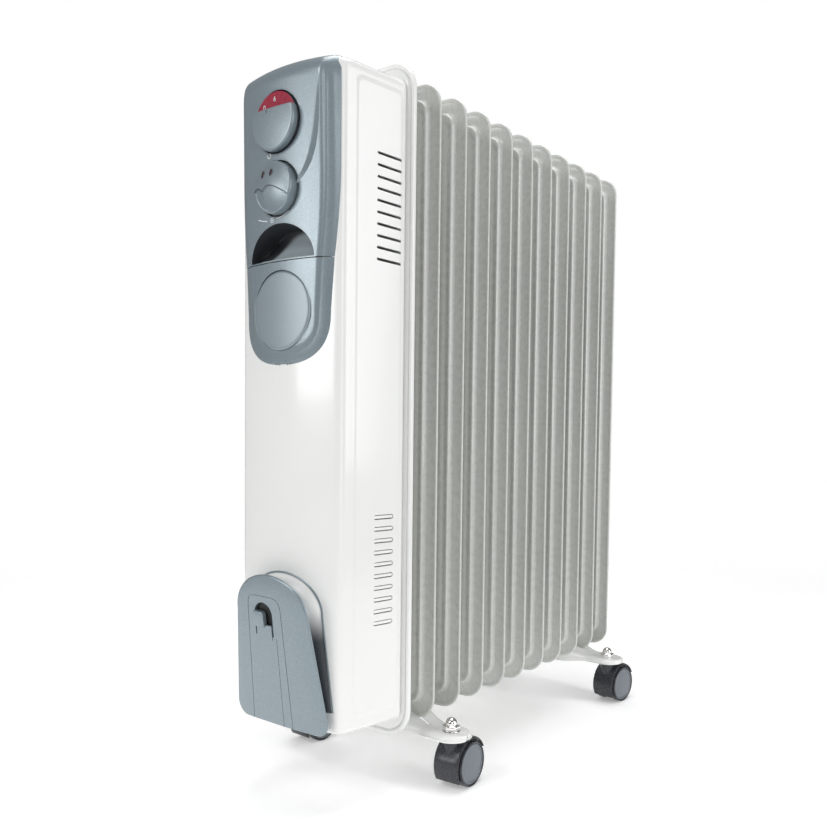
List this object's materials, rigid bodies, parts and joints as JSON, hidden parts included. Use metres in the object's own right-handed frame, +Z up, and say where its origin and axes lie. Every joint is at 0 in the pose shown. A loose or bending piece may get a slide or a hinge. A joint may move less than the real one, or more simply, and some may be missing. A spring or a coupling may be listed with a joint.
{
  "type": "oil filled radiator heater",
  "caption": "Upright oil filled radiator heater with flat hollow fins, a control housing with two knobs, a grip arch and a cord winder, on feet with twin-wheel castors.",
  "frame": {"origin": "on the floor, below the middle of the bounding box", "axes": "+Z up, -Y towards the control end, +X the heater's right side as seen from behind the controls looking along +Y"},
  "size_m": [0.2254, 0.5124, 0.641],
  "materials": {
    "white_enamel": "gloss",
    "grey_blue_plastic": "fine metallic satin",
    "slate_plastic": "satin",
    "black_plastic": "matte",
    "red_plastic": "gloss",
    "zinc_steel": "satin",
    "chrome": "polished",
    "brass": "satin"
  },
  "bodies": {
    "heater": {"fin_01": "white_enamel", "fin_02": "white_enamel", "fin_03": "white_enamel", "fin_04": "white_enamel", "fin_05": "white_enamel", "fin_06": "white_enamel", "fin_07": "white_enamel", "fin_08": "white_enamel", "fin_09": "white_enamel", "fin_10": "white_enamel", "fin_11": "white_enamel", "housing_back_plate": "white_enamel", "housing_cover": "white_enamel", "foot_front": "white_enamel", "foot_rear": "white_enamel", "control_panel": "grey_blue_plastic", "lower_cover": "grey_blue_plastic", "badge_disc": "grey_blue_plastic", "cord_winder_plate": "grey_blue_plastic", "grip_pocket": "slate_plastic", "cord_winder_drum": "slate_plastic", "scale_disc": "red_plastic", "pilot_lamp": "red_plastic", "thermostat_body": "black_plastic", "selector_switch": "black_plastic", "thermal_cutout": "black_plastic", "cord_gland": "black_plastic", "heating_element": "zinc_steel", "element_flange": "zinc_steel", "ubolt_front": "zinc_steel", "ubolt_rear": "zinc_steel", "oil_filler_plug": "brass", "wing_nut_front_left": "zinc_steel", "castor_front_left_stem": "zinc_steel", "castor_front_left_nut": "chrome", "wing_nut_front_right": "zinc_steel", "castor_front_right_stem": "zinc_steel", "castor_front_right_nut": "chrome", "wing_nut_rear_left": "zinc_steel", "castor_rear_left_stem": "zinc_steel", "castor_rear_left_nut": "chrome", "wing_nut_rear_right": "zinc_steel", "castor_rear_right_stem": "zinc_steel", "castor_rear_right_nut": "chrome"},
    "thermostat": {"thermostat_knob": "grey_blue_plastic", "thermostat_spindle": "zinc_steel"},
    "selector": {"selector_knob": "grey_blue_plastic", "selector_spindle": "zinc_steel"},
    "castor_front_left": {"castor_front_left_hood": "slate_plastic"},
    "castor_front_left_left": {"castor_front_left_wheel_left": "slate_plastic"},
    "castor_front_left_right": {"castor_front_left_wheel_right": "slate_plastic"},
    "castor_front_right": {"castor_front_right_hood": "slate_plastic"},
    "castor_front_right_left": {"castor_front_right_wheel_left": "slate_plastic"},
    "castor_front_right_right": {"castor_front_right_wheel_right": "slate_plastic"},
    "castor_rear_left": {"castor_rear_left_hood": "slate_plastic"},
    "castor_rear_left_left": {"castor_rear_left_wheel_left": "slate_plastic"},
    "castor_rear_left_right": {"castor_rear_left_wheel_right": "slate_plastic"},
    "castor_rear_right": {"castor_rear_right_hood": "slate_plastic"},
    "castor_rear_right_left": {"castor_rear_right_wheel_left": "slate_plastic"},
    "castor_rear_right_right": {"castor_rear_right_wheel_right": "slate_plastic"}
  },
  "joints": [
    {"name": "thermostat_turn", "type": "hinge", "parent": "heater", "child": "thermostat", "pos_m": [0, -0.24175, 0.5785], "axis": [0, 1, 0], "range_deg": [0, 270]},
    {"name": "selector_turn", "type": "hinge", "parent": "heater", "child": "selector", "pos_m": [0, -0.24175, 0.5245], "axis": [0, 1, 0], "range_deg": [0, 135]},
    {"name": "castor_front_left_swivel", "type": "hinge", "parent": "heater", "child": "castor_front_left", "pos_m": [-0.0935, -0.11605, 0.04], "axis": [0, 0, 1], "continuous": true},
    {"name": "castor_front_left_left_spin", "type": "hinge", "parent": "castor_front_left", "child": "castor_front_left_left", "pos_m": [-0.09285, -0.10106, 0.0205], "axis": [0.999, -0.0436, 0], "continuous": true},
    {"name": "castor_front_left_right_spin", "type": "hinge", "parent": "castor_front_left", "child": "castor_front_left_right", "pos_m": [-0.09285, -0.10106, 0.0205], "axis": [0.999, -0.0436, 0], "continuous": true},
    {"name": "castor_front_right_swivel", "type": "hinge", "parent": "heater", "child": "castor_front_right", "pos_m": [0.0935, -0.11605, 0.04], "axis": [0, 0, 1], "continuous": true},
    {"name": "castor_front_right_left_spin", "type": "hinge", "parent": "castor_front_right", "child": "castor_front_right_left", "pos_m": [0.09285, -0.10106, 0.0205], "axis": [0.999, 0.0436, 0], "continuous": true},
    {"name": "castor_front_right_right_spin", "type": "hinge", "parent": "castor_front_right", "child": "castor_front_right_right", "pos_m": [0.09285, -0.10106, 0.0205], "axis": [0.999, 0.0436, 0], "continuous": true},
    {"name": "castor_rear_left_swivel", "type": "hinge", "parent": "heater", "child": "castor_rear_left", "pos_m": [-0.0935, 0.20955, 0.04], "axis": [0, 0, 1], "continuous": true},
    {"name": "castor_rear_left_left_spin", "type": "hinge", "parent": "castor_rear_left", "child": "castor_rear_left_left", "pos_m": [-0.09533, 0.22444, 0.0205], "axis": [0.9925, 0.1219, 0], "continuous": true},
    {"name": "castor_rear_left_right_spin", "type": "hinge", "parent": "castor_rear_left", "child": "castor_rear_left_right", "pos_m": [-0.09533, 0.22444, 0.0205], "axis": [0.9925, 0.1219, 0], "continuous": true},
    {"name": "castor_rear_right_swivel", "type": "hinge", "parent": "heater", "child": "castor_rear_right", "pos_m": [0.0935, 0.20955, 0.04], "axis": [0, 0, 1], "continuous": true},
    {"name": "castor_rear_right_left_spin", "type": "hinge", "parent": "castor_rear_right", "child": "castor_rear_right_left", "pos_m": [0.09533, 0.22444, 0.0205], "axis": [0.9925, -0.1219, 0], "continuous": true},
    {"name": "castor_rear_right_right_spin", "type": "hinge", "parent": "castor_rear_right", "child": "castor_rear_right_right", "pos_m": [0.09533, 0.22444, 0.0205], "axis": [0.9925, -0.1219, 0], "continuous": true}
  ]
}
